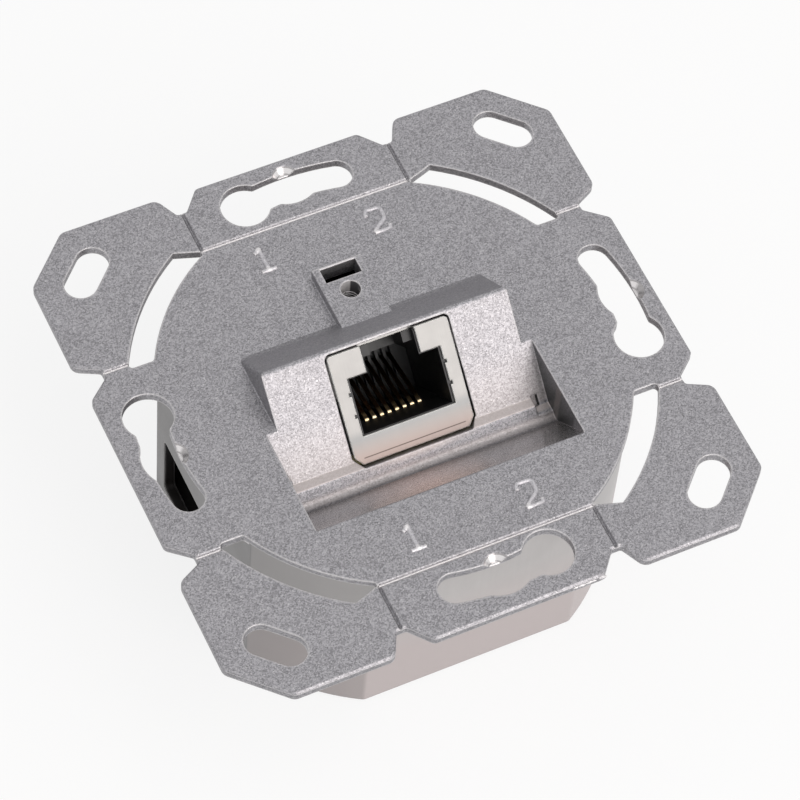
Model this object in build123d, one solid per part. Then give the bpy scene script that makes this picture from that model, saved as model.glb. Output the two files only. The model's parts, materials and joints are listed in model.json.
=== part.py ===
from build123d import *
import math
import os

# Shielded network socket insert for a round flush box.
# Millimetres. The origin is the middle of the mounting plate on its rear face, the face that
# lies on the wall. +Z points out of the wall, +Y up the plate, +X to the right.

# Mounting plate, plan
plate_thickness = 1.2
corner_tab_reach = 35.4
corner_tab_start = 16.3
corner_tab_root = 14.75
corner_bevel = 6.3
corner_tab_rounding = 1.3
edge_tab_reach = 35.1
edge_tab_end = 11.1
edge_tab_root = 13.45
edge_tab_rounding = 0.9
notch_depth_line = 32.3
notch_rounding = 0.5
plate_edge_bevel = 0.25

# Arc slots between the middle disc and the corner tabs
disc_radius = 29.2
slot_width = 3.05
slot_tip_x = 14.3
slot_tip_y = 25.95
slot_tip_slope = 1 / 3
slot_side_end = 13.4
slot_rounding = 0.5

# Score grooves along which the tabs break off
score_width = 0.6
score_depth = 0.4
score_offset = 14.1
score_line_y = 26.0

# Corner holes and keyholes
corner_hole_margin = 6.9
corner_hole_radius = 2.1
corner_hole_travel = 3.6
keyhole_margin_far = 4.2
keyhole_margin_near = 4.7
keyhole_head_radius = 3.15
keyhole_head_angle = 12.0
keyhole_slot_width = 4.1
keyhole_slot_angle = 11.4
keyhole_belly_radius = 4.5
keyhole_belly_reach = 0.65
keyhole_rounding = 0.5
pinch_scoop_radius = 1.75
pinch_scoop_depth = 0.9
pinch_scoop_shift = 1.45

# Hood with the inclined face, and the trough in front of it
slope_angle = 45.0
face_foot_y = -1.75
hood_height = 5.2
hood_back_y = 9.6
hood_half_width = 16.35
hood_rounding = 0.5
face_wall = 1.3
hood_back_wall = 0.8
hood_side_wall = 1.2
trough_edge_y = -16.4
trough_half_width = 17.75
trough_wall = 1.3
trough_rounding = 1.4
ledge_start = 6.95
ledge_reach = 1.3
ledge_half_width = 15.75
ledge_shoulder_start = 8.2
ledge_pit_width = 0.8
ledge_pit_depth = 0.8
valley_rounding = 1.0
window_clearance = 0.3

# Raised strip with the cover screw's hole and the small window
strip_half_width = 3.35
strip_height = 1.4
strip_rounding = 0.2
strip_rear_wall = 0.3
cover_screw_y = 12.85
cover_screw_radius = 1.25
cover_boss_radius = 2.4
cover_boss_depth = 1.1
strip_window_half_width = 2.4
strip_window_start_y = 14.75
strip_window_end_y = 16.85

# Rear housing
can_radius = 28.9
can_flat = 25.2
can_depth = 28.7
can_wall = 1.5
can_corner_rounding = 1.0
can_edge_bevel = 0.7
can_seat_depth = 0.3
seat_clearance = 0.35
locating_rib_clearance = 0.2
locating_rib_width = 1.0
locating_rib_height = 1.6
locating_rib_length = 9.0
entry_half_width = 11.8
entry_top_z = -15.0
entry_height = 11.2
entry_corner_rounding = 0.8

# Jack: outside, plug cavity and latch notch. Heights run up the slope, depths go inwards.
jack_half_width = 8.0
jack_bottom = -6.5
jack_top = 6.55
jack_depth = 15.3
sheet = 0.3
frame_lip_drop = 1.1
frame_lip_half_width = 7.1
shield_corner_rounding = 0.5
opening_half_width = 6.25
opening_bottom = -4.25
opening_top = 3.25
notch_half_width = 3.65
side_nick_height = 0.5
side_nick_depth = 0.3
shield_leg_width = 1.5
shield_leg_depth = 6.0
shield_gap_half_width = 4.6
shield_gap_front = 8.4
cavity_inset = 0.2
catch_gap = 4.4
catch_height = 1.4
catch_thickness = 1.6
latch_depth = 9.0
body_clearance = 0.05
carrier_front = 5.4
carrier_clearance = 0.05
comb_wall = 1.7

# Contact springs
contact_count = 8
contact_pitch = 1.02
contact_width = 0.5
contact_thickness = 0.3
contact_slot_width = 0.64
contact_leg_height = -5.45
contact_knee_height = -4.0
contact_knee_depth = 5.75
contact_bend = 0.35
contact_free_height = 1.0
contact_free_depth = 13.35
contact_row_front = 9.6
contact_row_rear = 12.1
solder_tail = 0.8

# Circuit board
board_thickness = 1.6
board_half_width = 15.0
board_front = 1.6
board_length = 23.9
board_corner_rounding = 1.5
board_hole_clearance = 0.2
board_screw_u = 12.0
board_screw_depth = 4.2
board_screw_radius = 1.2
board_screw_length = 4.6
board_screw_head_radius = 2.2
board_screw_head_height = 1.4
lug_half_width = 2.6
lug_height = 6.0
lug_depth = 7.0

# Terminal blocks and blades
block_inner = 6.2
block_width = 7.3
block_height = 7.5
block_start = 8.0
block_wire_pitch = 3.4
block_end_margin = 2.15
wire_slot_width = 0.9
wire_slot_depth = 4.4
tooth_bevel = 0.6
blade_thickness = 0.6
blade_width = 2.4
blade_length = 6.8
blade_slit_width = 0.4
blade_slit_length = 4.0
blade_pin_width = 0.7
blade_clearance = 0.1

# Earth springs between the casting and the jack's screen
earth_spring_thickness = 0.3
earth_spring_height = 4.5
earth_spring_middle = 3.2
earth_spring_foot = 4.5
earth_spring_leaf = 6.0

# Cable clamp
clamp_x = -20.0
clamp_width = 6.4
clamp_sheet = 1.2
cable_radius = 4.6
cable_axis_z = -18.6
clamp_ear_z = -21.1
clamp_post_y = 8.3
clamp_post_radius = 2.6
clamp_screw_radius = 1.45
clamp_screw_length = 7.0
clamp_head_radius = 2.6
clamp_head_height = 1.8
clamp_ear_half_span = clamp_post_y + clamp_head_radius

# Screws that hold the housing
pillar_x = 17.6
pillar_y = 15.6
pillar_radius = 3.1
housing_screw_radius = 1.45
housing_screw_length = 10.0
housing_head_radius = 2.8
screw_hole_clearance = 0.05
hole_spare_depth = 1.5


# Frames and small helpers
plate_top = plate_thickness
lean = math.radians(slope_angle)
across = math.cos(lean)
rise = math.sin(lean)
slope = math.tan(lean)
jack_plane = Plane(
    origin=(0, face_foot_y, plate_top),
    x_dir=(1, 0, 0),
    z_dir=(0, -rise, across),
)


def on_slope(shape):
    """Put a shape drawn with x across, y up the slope and z out of it into the part's frame."""
    return jack_plane.location * shape


def slope_block(u_low, u_high, v_low, v_high, deep, shallow):
    """A block on the slope: across, up the slope, and inwards from shallow to deep."""
    size = (u_high - u_low, v_high - v_low, deep - shallow)
    middle = ((u_low + u_high) / 2, (v_low + v_high) / 2, -(deep + shallow) / 2)
    return on_slope(Pos(*middle) * Box(*size))


def face_of_side(points):
    """A face in the plane x = 0 through points given as (y, z)."""
    return make_face(Polyline(*[(0, y, z) for y, z in points], close=True))


def prism_across(points, half_width, middle=0.0):
    """A prism along x with the given side outline."""
    side = extrude(face_of_side(points), amount=half_width, dir=(1, 0, 0), both=True)
    return Pos(middle, 0, 0) * side


def cylinder_down(x, y, radius, top, bottom):
    """An upright cylinder from bottom to top."""
    return Pos(x, y, (top + bottom) / 2) * Cylinder(radius, top - bottom)


# Points of the hood's and the trough's side outline, as (y, z)
ridge_y = face_foot_y + hood_height / slope
ridge = (ridge_y, plate_top + hood_height)
back_run = hood_back_y - ridge_y
back_angle = math.atan2(hood_height, back_run)
trough_bottom_drop = (face_foot_y - trough_edge_y) / (slope + 1 / slope)
trough_bottom = (trough_edge_y + trough_bottom_drop * slope, plate_top - trough_bottom_drop)


def face_line(z, inset=0.0):
    """Y of the inclined face, or of a plane that lies inset behind it, at height z."""
    return face_foot_y + (z - plate_top) / slope + inset / rise


def back_line(z, inset=0.0):
    """Y of the hood's back slope, or of a plane inset under it, at height z."""
    return hood_back_y - (z - plate_top) / math.tan(back_angle) - inset / math.sin(back_angle)


def far_line(z, inset=0.0):
    """Y of the trough's far slope, or of a plane that lies inset behind it, at height z."""
    return trough_edge_y - (z - plate_top) * slope - inset / across


# Housing section, shared by the can, its seat and the plate's locating rib
def can_section(grow=0.0):
    """The can's outline at the given offset: a circle with four flats and rounded corners."""
    flat = can_flat + grow
    section = Circle(can_radius + grow) & Rectangle(2 * flat, 2 * flat)
    return fillet(section.vertices(), can_corner_rounding + max(grow, -can_corner_rounding / 2))


# Mounting plate
def plate_outline():
    """One quarter of the outline, mirrored to the other three, with its corners rounded."""
    corner_bevel_start = corner_tab_reach - corner_bevel
    quarter = Polyline(
        (0, 0),
        (0, edge_tab_reach),
        (edge_tab_end, edge_tab_reach),
        (edge_tab_root, notch_depth_line),
        (corner_tab_root, notch_depth_line),
        (corner_tab_start, corner_tab_reach),
        (corner_bevel_start, corner_tab_reach),
        (corner_tab_reach, corner_bevel_start),
        (corner_tab_reach, corner_tab_start),
        (notch_depth_line, corner_tab_root),
        (notch_depth_line, edge_tab_root),
        (edge_tab_reach, edge_tab_end),
        (edge_tab_reach, 0),
        close=True,
    )
    first = make_face(quarter)
    half = first + mirror(first, about=Plane.YZ)
    outline = Sketch() + (half + mirror(half, about=Plane.XZ))

    def near(across_a, across_b):
        def test(vertex):
            pair = sorted((abs(vertex.X), abs(vertex.Y)))
            low, high = sorted((across_a, across_b))
            return abs(pair[0] - low) < 0.01 and abs(pair[1] - high) < 0.01

        return test

    for point, radius in (
        ((edge_tab_end, edge_tab_reach), edge_tab_rounding),
        ((edge_tab_root, notch_depth_line), notch_rounding),
        ((corner_tab_root, notch_depth_line), notch_rounding),
        ((corner_tab_start, corner_tab_reach), corner_tab_rounding),
        ((corner_bevel_start, corner_tab_reach), corner_tab_rounding),
    ):
        outline = fillet(outline.vertices().filter_by(near(*point)), radius)
    return outline


def arc_slot():
    """The slot beside the disc in the first quarter, with its pointed upper end."""
    reach = 2 * disc_radius
    ring = Circle(disc_radius + slot_width) - Circle(disc_radius)
    window = Polygon(
        (slot_tip_x, slot_side_end),
        (reach, slot_side_end),
        (reach, slot_tip_y + (reach - slot_tip_x) * slot_tip_slope),
        (slot_tip_x, slot_tip_y),
        align=None,
    )
    slot = ring & window
    ends = slot.vertices().filter_by(lambda v: v.Y < slot_side_end + 0.01)
    return fillet(ends, slot_rounding)


def corner_hole():
    """The oval hole in the first quarter's tab."""
    place = corner_tab_reach - corner_hole_margin
    spot = Pos(place, place)
    return spot * Rot(0, 0, -45) * SlotCenterToCenter(corner_hole_travel, 2 * corner_hole_radius)


def keyhole(radius, belly_side):
    """A curved slot with a round head on its left; belly_side -1 is towards the plate's middle."""
    path = CenterArc((0, 0), radius, 90 - keyhole_slot_angle, keyhole_slot_angle + keyhole_head_angle)
    slot = SlotArc(path, keyhole_slot_width)
    head = Rot(0, 0, keyhole_head_angle) * Pos(0, radius) * Circle(keyhole_head_radius)
    reach = keyhole_slot_width / 2 + keyhole_belly_reach - keyhole_belly_radius
    belly = Pos(0, radius + belly_side * reach) * Circle(keyhole_belly_radius)
    belly = belly & Circle(radius) if belly_side < 0 else belly - Circle(radius)
    hole = slot + head + belly
    slot_limit = radius * math.sin(math.radians(keyhole_slot_angle)) / 2
    inner = hole.vertices().filter_by(lambda v: v.X < slot_limit)
    return fillet(inner, keyhole_rounding)


def pinch_scoop(radius, side):
    """The dished spot beside the middle of a keyhole above the plate's middle."""
    top = Circle(pinch_scoop_radius)
    foot = Pos(0, 0, -pinch_scoop_depth) * Circle(pinch_scoop_radius * 0.55)
    cone = loft([foot, top])
    return Pos(0, radius + side * pinch_scoop_shift, plate_top) * cone


def keyhole_cutters():
    """The four keyholes with their scoops: upper, lower, left and right."""
    cutters = []
    for radius, scoop_side, upright, sideways in (
        (edge_tab_reach - keyhole_margin_far, 1, 0, -90),
        (edge_tab_reach - keyhole_margin_near, -1, 180, 90),
    ):
        outline = keyhole(radius, -scoop_side)
        hole = Pos(0, 0, -plate_thickness) * extrude(outline, amount=3 * plate_thickness)
        for cutter in (hole, pinch_scoop(radius, scoop_side)):
            cutters.append(Rot(0, 0, upright) * cutter)
            cutters.append(Rot(0, 0, sideways) * mirror(cutter, about=Plane.YZ))
    return cutters


def four_ways(shape):
    """The shape, and its mirror images in the other three quarters."""
    pair = [shape, mirror(shape, about=Plane.YZ)]
    return pair + [mirror(each, about=Plane.XZ) for each in pair]


def score(x_start, x_end, y_start, y_end):
    """A V groove in the plate's top along x or along y."""
    length = math.hypot(x_end - x_start, y_end - y_start)
    turn = math.degrees(math.atan2(y_end - y_start, x_end - x_start))
    half = score_width / 2
    spare = score_depth
    side = Polyline(
        (0, -2 * half, spare),
        (0, 2 * half, spare),
        (0, 0, -score_depth),
        close=True,
    )
    groove = extrude(make_face(side), amount=length, dir=(1, 0, 0))
    return Pos(x_start, y_start, plate_top) * Rot(0, 0, turn) * groove


def plate_scores():
    """The long grooves under the upper and lower tabs and the short ones at each notch."""
    slot_outer = math.sqrt((disc_radius + slot_width) ** 2 - score_offset**2)
    grooves = []
    for side in (-1, 1):
        grooves.append(score(-score_offset, score_offset, side * score_line_y, side * score_line_y))
        for other in (-1, 1):
            x = side * score_offset
            grooves.append(score(x, x, other * score_line_y, other * (notch_depth_line + score_width)))
            y = side * score_offset
            start = other * slot_outer
            grooves.append(score(start, other * (notch_depth_line + score_width), y, y))
    return grooves


def hood_shell():
    """The hood's outside: two slopes that meet in a rounded ridge."""
    outline = [
        (face_line(0), 0),
        ridge,
        (hood_back_y, plate_top),
        (hood_back_y, 0),
    ]
    hood = prism_across(outline, hood_half_width)
    above = hood.edges().filter_by(lambda e: e.center().Z > plate_top + hood_height * 0.4)
    return fillet(above, hood_rounding)


def hood_hollow():
    """The space under the hood, open to the plate's rear."""
    gap_at_rear = back_line(0, hood_back_wall) - face_line(0, face_wall)
    inner_height = gap_at_rear / (1 / slope + 1 / math.tan(back_angle))
    outline = [
        (face_line(0, face_wall), 0),
        (face_line(inner_height, face_wall), inner_height),
        (back_line(0, hood_back_wall), 0),
    ]
    return prism_across(outline, hood_half_width - hood_side_wall)


def trough_outside():
    """The trough's outer form under the plate, from the back of the face wall to its far wall."""
    drop = (face_line(plate_top, face_wall) - far_line(plate_top, trough_wall)) / (slope + 1 / slope)
    bottom = (face_line(plate_top - drop, face_wall), plate_top - drop)
    outline = [
        (face_line(0, face_wall), 0),
        bottom,
        (far_line(0, trough_wall), 0),
    ]
    body = prism_across(outline, trough_half_width + trough_wall)
    keel = body.edges().filter_by(lambda e: e.center().Z < bottom[1] + 0.01 and e.length > trough_half_width)
    return fillet(keel, trough_rounding + trough_wall)


def trough_hollow():
    """The V-shaped space in front of the inclined face, with a rounded bottom."""
    above = plate_top + hood_height
    outline = [
        (face_foot_y, above),
        (face_foot_y, plate_top),
        trough_bottom,
        (trough_edge_y, plate_top),
        (trough_edge_y, above),
    ]
    side = face_of_side(outline)
    low = side.vertices().filter_by(lambda v: v.Z < trough_bottom[1] + 0.01)
    rounded = fillet(low, trough_rounding)
    return extrude(rounded, amount=trough_half_width, dir=(1, 0, 0), both=True)


def ledge_strip(start_height, left, right):
    """A raised strip along the foot of the face: a level top, a slope and a rounded valley."""
    front = ledge_reach * rise
    top_z = plate_top - start_height * rise
    start = (face_line(top_z), top_z)
    edge = (face_line(top_z, -front), top_z)
    low_drop = (face_line(plate_top, -front) - trough_edge_y) / (slope + 1 / slope)
    low = (far_line(plate_top - low_drop), plate_top - low_drop)
    spread = valley_rounding * across
    fall = valley_rounding * rise
    on_front = (low[0] + spread, low[1] + fall)
    on_far = (low[0] - fall, low[1] + spread)
    inward = 1 - math.sqrt(0.5)
    between = (low[0] + inward * (spread - fall), low[1] + inward * (spread + fall))
    side = make_face(
        [
            Polyline(*[(0, y, z) for y, z in (on_far, trough_bottom, start, edge, on_front)]),
            ThreePointArc(*[(0, y, z) for y, z in (on_front, between, on_far)]),
        ]
    )
    strip = Pos(left, 0, 0) * extrude(side, amount=right - left, dir=(1, 0, 0))
    nose = [e for e in strip.edges().filter_by(Axis.X) if abs(e.center().Y - edge[0]) < 0.01]
    return fillet(nose, ledge_reach / 4)


def ledge():
    """The strip, the lower shoulder that closes its right end, and the small pit between them."""
    strip = ledge_strip(ledge_start, -trough_half_width, ledge_half_width)
    shoulder = ledge_strip(ledge_shoulder_start, ledge_half_width - 1, trough_half_width)
    pit = slope_block(
        ledge_half_width,
        ledge_half_width + ledge_pit_width,
        -ledge_shoulder_start,
        -ledge_start + ledge_pit_depth / 4,
        ledge_pit_depth,
        -2 * ledge_reach,
    )
    return strip + shoulder, pit


def cover_strip():
    """The raised strip behind the hood."""
    top = plate_top + strip_height
    strip_end_y = strip_window_end_y + strip_rear_wall
    outline = [
        (back_line(top), top),
        (strip_end_y, top),
        (strip_end_y, 0),
        (hood_back_y + hood_back_wall, 0),
        (hood_back_y, plate_top),
    ]
    strip = prism_across(outline, strip_half_width)
    rims = strip.edges().filter_by(lambda e: e.center().Z > top - 0.01 and abs(e.center().X) > 1)
    return fillet(rims, strip_rounding)


def board_lugs():
    """The two lugs behind the face that the circuit board is screwed to, and their holes."""
    lugs = []
    holes = []
    for side in (-1, 1):
        u = side * board_screw_u
        lugs.append(
            slope_block(
                u - lug_half_width,
                u + lug_half_width,
                jack_bottom,
                jack_bottom + lug_height,
                lug_depth,
                face_wall / 2,
            )
        )
        depth = board_screw_length - board_thickness + hole_spare_depth
        hole = Cylinder(board_screw_radius + screw_hole_clearance, 2 * depth)
        holes.append(on_slope(Pos(u, jack_bottom, -board_screw_depth) * Rot(90, 0, 0) * hole))
    return lugs, holes


def clamp_posts():
    """The two posts beside the cable entry, and their holes."""
    posts = []
    holes = []
    depth = clamp_screw_length - clamp_sheet + hole_spare_depth
    for side in (-1, 1):
        y = side * clamp_post_y
        posts.append(cylinder_down(clamp_x, y, clamp_post_radius, plate_top / 2, clamp_ear_z))
        radius = clamp_screw_radius + screw_hole_clearance
        holes.append(cylinder_down(clamp_x, y, radius, clamp_ear_z + depth, clamp_ear_z - 1))
    return posts, holes


def housing_pillars():
    """The two long pillars that the housing is screwed to, and their holes."""
    pillars = []
    holes = []
    foot = can_wall - can_depth
    depth = housing_screw_length - can_wall + hole_spare_depth
    for side in (-1, 1):
        x = side * pillar_x
        pillars.append(cylinder_down(x, pillar_y, pillar_radius, plate_top / 2, foot))
        radius = housing_screw_radius + screw_hole_clearance
        holes.append(cylinder_down(x, pillar_y, radius, foot + depth, foot - 1))
    return pillars, holes


def mounting_plate():
    """The whole casting."""
    slab = extrude(plate_outline(), amount=plate_thickness)
    rim = slab.faces().sort_by(Axis.Z)[-1].outer_wire().edges()
    slab = chamfer(rim, plate_edge_bevel)
    cuts = []
    for outline in (arc_slot(), corner_hole()):
        cutter = extrude(outline, amount=3 * plate_thickness)
        cuts += four_ways(Pos(0, 0, -plate_thickness) * cutter)
    cuts += keyhole_cutters()
    rib_section = can_section(-can_wall - locating_rib_clearance)
    rib_inside = can_section(-can_wall - locating_rib_clearance - locating_rib_width)
    kept = [Rot(0, 0, turn) * Rectangle(3 * can_radius, locating_rib_length) for turn in (45, 135)]
    rib_plan = (rib_section - rib_inside) & (Sketch() + kept)
    rib = Pos(0, 0, -locating_rib_height) * extrude(rib_plan, amount=locating_rib_height)
    seat_ring = can_section(seat_clearance) - rib_section
    seat = extrude(seat_ring, amount=can_seat_depth)
    lugs, lug_holes = board_lugs()
    posts, post_holes = clamp_posts()
    pillars, pillar_holes = housing_pillars()
    strip, pit = ledge()
    boss = cylinder_down(0, cover_screw_y, cover_boss_radius, plate_top / 2, -cover_boss_depth)
    plate = slab - cuts - seat - plate_scores()
    plate = plate + [rib, hood_shell(), trough_outside(), cover_strip(), boss]
    plate = plate - hood_hollow() - trough_hollow()
    plate = plate + strip - pit + lugs + posts + pillars
    window_face = offset(frame_outline(), amount=window_clearance)
    window = on_slope(Pos(0, 0, -face_wall - 0.5) * extrude(window_face, amount=face_wall + 3 * ledge_reach))
    cover_hole = cylinder_down(0, cover_screw_y, cover_screw_radius, plate_top + 2, -cover_boss_depth - 1)
    strip_window_length = strip_window_end_y - strip_window_start_y
    strip_window = Pos(0, strip_window_start_y + strip_window_length / 2, plate_top) * Box(
        2 * strip_window_half_width,
        strip_window_length,
        4 * strip_height,
    )
    return plate - window - cover_hole - strip_window - lug_holes - post_holes - pillar_holes


# Rear housing
def cable_entry():
    """The wide opening in the can's left flat."""
    outline = RectangleRounded(2 * entry_half_width, entry_height, entry_corner_rounding)
    middle = entry_top_z - entry_height / 2
    face = Plane(origin=(-can_radius - 1, 0, middle), x_dir=(0, 1, 0), z_dir=(1, 0, 0)) * outline
    return extrude(face, amount=can_radius / 2)


def rear_housing():
    """The screening can: a round cup with four flats, a cable entry and two countersunk holes."""
    outer = Pos(0, 0, -can_depth) * extrude(can_section(), amount=can_depth + can_seat_depth)
    foot = outer.faces().sort_by(Axis.Z)[0].edges()
    outer = chamfer(foot, can_edge_bevel)
    inner = Pos(0, 0, can_wall - can_depth) * extrude(can_section(-can_wall), amount=can_depth + 2)
    can = outer - inner - cable_entry()
    for side in (-1, 1):
        can = can - screw_shape(
            (side * pillar_x, pillar_y),
            housing_screw_radius + screw_hole_clearance,
            housing_head_radius + screw_hole_clearance,
            can_wall + 1,
        )
    return can


def screw_shape(place, radius, head_radius, length):
    """A countersunk screw, head down, its head's face flush with the can's back."""
    x, y = place
    low = -can_depth
    cone_height = head_radius - radius
    outline = Polyline(
        (0, 0, low),
        (head_radius, 0, low),
        (radius, 0, low + cone_height),
        (radius, 0, low + length),
        (0, 0, low + length),
        close=True,
    )
    return Pos(x, y, 0) * revolve(make_face(outline), axis=Axis.Z)


def housing_screws():
    """The two screws in the can's back."""
    screws = [
        screw_shape(
            (side * pillar_x, pillar_y),
            housing_screw_radius,
            housing_head_radius,
            housing_screw_length,
        )
        for side in (-1, 1)
    ]
    return Compound(children=screws)


# Jack
def jack_section(inset=0.0):
    """The jack's outline across the slope, at the given inset, with rounded corners."""
    height = jack_top - jack_bottom - 2 * inset
    rounding = shield_corner_rounding - inset
    middle = Pos(0, (jack_top + jack_bottom) / 2)
    return middle * RectangleRounded(2 * (jack_half_width - inset), height, rounding)


def frame_lip():
    """The lip under the frame, with slanted ends."""
    return Polygon(
        (-jack_half_width, jack_bottom + shield_corner_rounding),
        (-jack_half_width, jack_bottom),
        (-frame_lip_half_width, jack_bottom - frame_lip_drop),
        (frame_lip_half_width, jack_bottom - frame_lip_drop),
        (jack_half_width, jack_bottom),
        (jack_half_width, jack_bottom + shield_corner_rounding),
        align=None,
    )


def frame_outline():
    """The frame and its lip, as seen from the front."""
    return Sketch() + (jack_section() + frame_lip())


def jack_shield():
    """The folded screen: a sleeve with a front frame, a lower lip and two solder legs."""
    half = jack_half_width
    outer_bar = extrude(jack_section(), amount=jack_depth + sheet / 2)
    inner_bar = extrude(jack_section(sheet), amount=jack_depth - sheet / 2 + 1)
    sleeve = on_slope(Pos(0, 0, -jack_depth) * outer_bar)
    inside = on_slope(Pos(0, 0, -jack_depth - 1) * inner_bar)
    opening = slope_block(
        -opening_half_width, opening_half_width, opening_bottom, opening_top, sheet, -sheet
    )
    notch = slope_block(-notch_half_width, notch_half_width, 0, jack_top + 1, 4 * sheet, -sheet)
    lip = on_slope(Pos(0, 0, -sheet / 2) * extrude(frame_lip(), amount=sheet))
    pin_gap = slope_block(
        -shield_gap_half_width,
        shield_gap_half_width,
        jack_bottom - 1,
        jack_bottom + 2 * sheet,
        jack_depth + 1,
        shield_gap_front,
    )
    shield = sleeve - inside + lip - opening - notch - pin_gap
    for side in (-1, 1):
        for height in (-1.6, 1.2):
            middle = side * opening_half_width
            shield = shield - slope_block(
                middle - side_nick_depth,
                middle + side_nick_depth,
                height - side_nick_height / 2,
                height + side_nick_height / 2,
                sheet,
                -sheet,
            )
        edge = side * (half - sheet / 2)
        shield = shield + slope_block(
            edge - sheet / 2,
            edge + sheet / 2,
            board_bottom - solder_tail,
            jack_bottom + sheet,
            shield_leg_depth + shield_leg_width / 2,
            shield_leg_depth - shield_leg_width / 2,
        )
    return shield


board_top = jack_bottom
board_bottom = board_top - board_thickness
cavity_half_width = opening_half_width - cavity_inset - 0.1
cavity_bottom = opening_bottom + cavity_inset - 0.05
cavity_top = opening_top - cavity_inset
body_bottom = jack_bottom + sheet + body_clearance
body_top = jack_top - sheet - body_clearance
body_front = sheet / 2 + body_clearance
latch_half_width = notch_half_width - cavity_inset


def jack_body():
    """The insulator: plug cavity, latch notch with its catches, and the carrier's pocket."""
    back = jack_depth - sheet
    section = jack_section(sheet + body_clearance)
    body = on_slope(Pos(0, 0, -back) * extrude(section, amount=back - body_front))
    cavity = slope_block(
        -cavity_half_width, cavity_half_width, cavity_bottom, cavity_top, jack_depth + 1, 0
    )
    latch = slope_block(
        -latch_half_width, latch_half_width, cavity_top - 0.5, body_top + 1, latch_depth, 0
    )
    pocket = slope_block(
        -cavity_half_width,
        cavity_half_width,
        body_bottom - 1,
        cavity_bottom + 0.5,
        jack_depth + 1,
        carrier_front - carrier_clearance,
    )
    body = body - cavity - latch - pocket
    for side in (-1, 1):
        inner = side * catch_gap / 2
        outer = side * (latch_half_width + 0.2)
        body = body + slope_block(
            min(inner, outer),
            max(inner, outer),
            body_top - catch_height,
            body_top,
            body_front + 1 + catch_thickness,
            body_front + 1,
        )
    return body


def contact_position(index):
    """The place across of a contact."""
    return (index - (contact_count - 1) / 2) * contact_pitch


def contact_row(index):
    """How far in a contact's solder leg stands: the rows alternate."""
    return contact_row_front if index % 2 == 0 else contact_row_rear


def contact_carrier():
    """The comb: a floor with a slot for each spring and a rear wall with guide slots."""
    half = cavity_half_width - carrier_clearance
    back = jack_depth - sheet
    floor = slope_block(-half, half, body_bottom, cavity_bottom, back, carrier_front)
    wall = slope_block(-half, half, body_bottom, cavity_top - carrier_clearance, back, back - comb_wall)
    carrier = floor + wall
    slot_half = contact_slot_width / 2
    slot_floor = contact_leg_height - contact_thickness
    cuts = []
    for index in range(contact_count):
        u = contact_position(index)
        row = contact_row(index)
        cuts.append(
            slope_block(u - slot_half, u + slot_half, slot_floor, cavity_top, back - comb_wall + 0.8, 0)
        )
        cuts.append(
            slope_block(
                u - slot_half,
                u + slot_half,
                body_bottom - 1,
                slot_floor + 0.1,
                row + slot_half,
                row - slot_half,
            )
        )
    return carrier - cuts


def contact(index):
    """One spring: solder leg, run forward under the floor, knee, and the sloping free end."""
    row = contact_row(index)
    hidden = Polyline(
        (-row, board_bottom - solder_tail),
        (-row, contact_leg_height),
        (-contact_knee_depth, contact_leg_height),
        (-contact_knee_depth, contact_knee_height - contact_bend * 2),
    )
    knee = FilletPolyline(
        (-contact_knee_depth, contact_knee_height - contact_bend * 2),
        (-contact_knee_depth, contact_knee_height),
        (-contact_free_depth, contact_free_height),
        radius=contact_bend,
    )
    flat = trace(Curve() + [hidden, knee], contact_thickness)
    strip = extrude(flat, amount=contact_width / 2, both=True)
    upright = Plane(
        origin=(contact_position(index), 0, 0),
        x_dir=(0, 0, 1),
        z_dir=(-1, 0, 0),
    )
    return on_slope(upright.location * strip)


# Circuit board with its holes
def circuit_board():
    """The board, drawn across and inwards, with a hole for every pin, leg and screw."""
    outline = RectangleRounded(2 * board_half_width, board_length, board_corner_rounding)
    middle = board_front + board_length / 2
    plate = Pos(0, -middle) * outline
    holes = []
    pin_hole = contact_width / 2 + board_hole_clearance
    for index in range(contact_count):
        hole = Rectangle(2 * pin_hole, 2 * pin_hole)
        holes.append(Pos(contact_position(index), -contact_row(index)) * hole)
    for side in (-1, 1):
        leg = side * (jack_half_width - sheet / 2)
        leg_slot = Rectangle(
            sheet + 2 * board_hole_clearance, shield_leg_width + 2 * board_hole_clearance
        )
        holes.append(Pos(leg, -shield_leg_depth) * leg_slot)
        screw_hole = Circle(board_screw_radius + board_hole_clearance)
        holes.append(Pos(side * board_screw_u, -board_screw_depth) * screw_hole)
    for u, depth in blade_places():
        pin = Rectangle(blade_thickness + board_hole_clearance, blade_pin_width + board_hole_clearance)
        holes.append(Pos(u, -depth) * pin)
    sheet_face = plate - holes
    board = extrude(sheet_face, amount=-board_thickness)
    flat = Plane(origin=(0, board_top, 0), x_dir=(1, 0, 0), z_dir=(0, 1, 0))
    return on_slope(flat.location * Rot(180, 0, 0) * mirror(board, about=Plane.XY))


def board_screws():
    """The two pan-head screws under the board."""
    outline = Polyline(
        (0, 0, -board_screw_head_height),
        (board_screw_head_radius, 0, -board_screw_head_height),
        (board_screw_head_radius, 0, 0),
        (board_screw_radius, 0, 0),
        (board_screw_radius, 0, board_screw_length),
        (0, 0, board_screw_length),
        close=True,
    )
    screw = revolve(make_face(outline), axis=Axis.Z)
    placed = []
    for side in (-1, 1):
        place = Pos(side * board_screw_u, board_bottom, -board_screw_depth)
        placed.append(on_slope(place * Rot(-90, 0, 0) * screw))
    return Compound(children=placed)


# Terminals
def blade_places():
    """(across, depth) of the eight terminal blades, four in each block."""
    places = []
    for side in (-1, 1):
        u = side * (block_inner + block_width / 2)
        for step in range(contact_count // 2):
            places.append((u, block_start + block_end_margin + step * block_wire_pitch))
    return places


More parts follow.
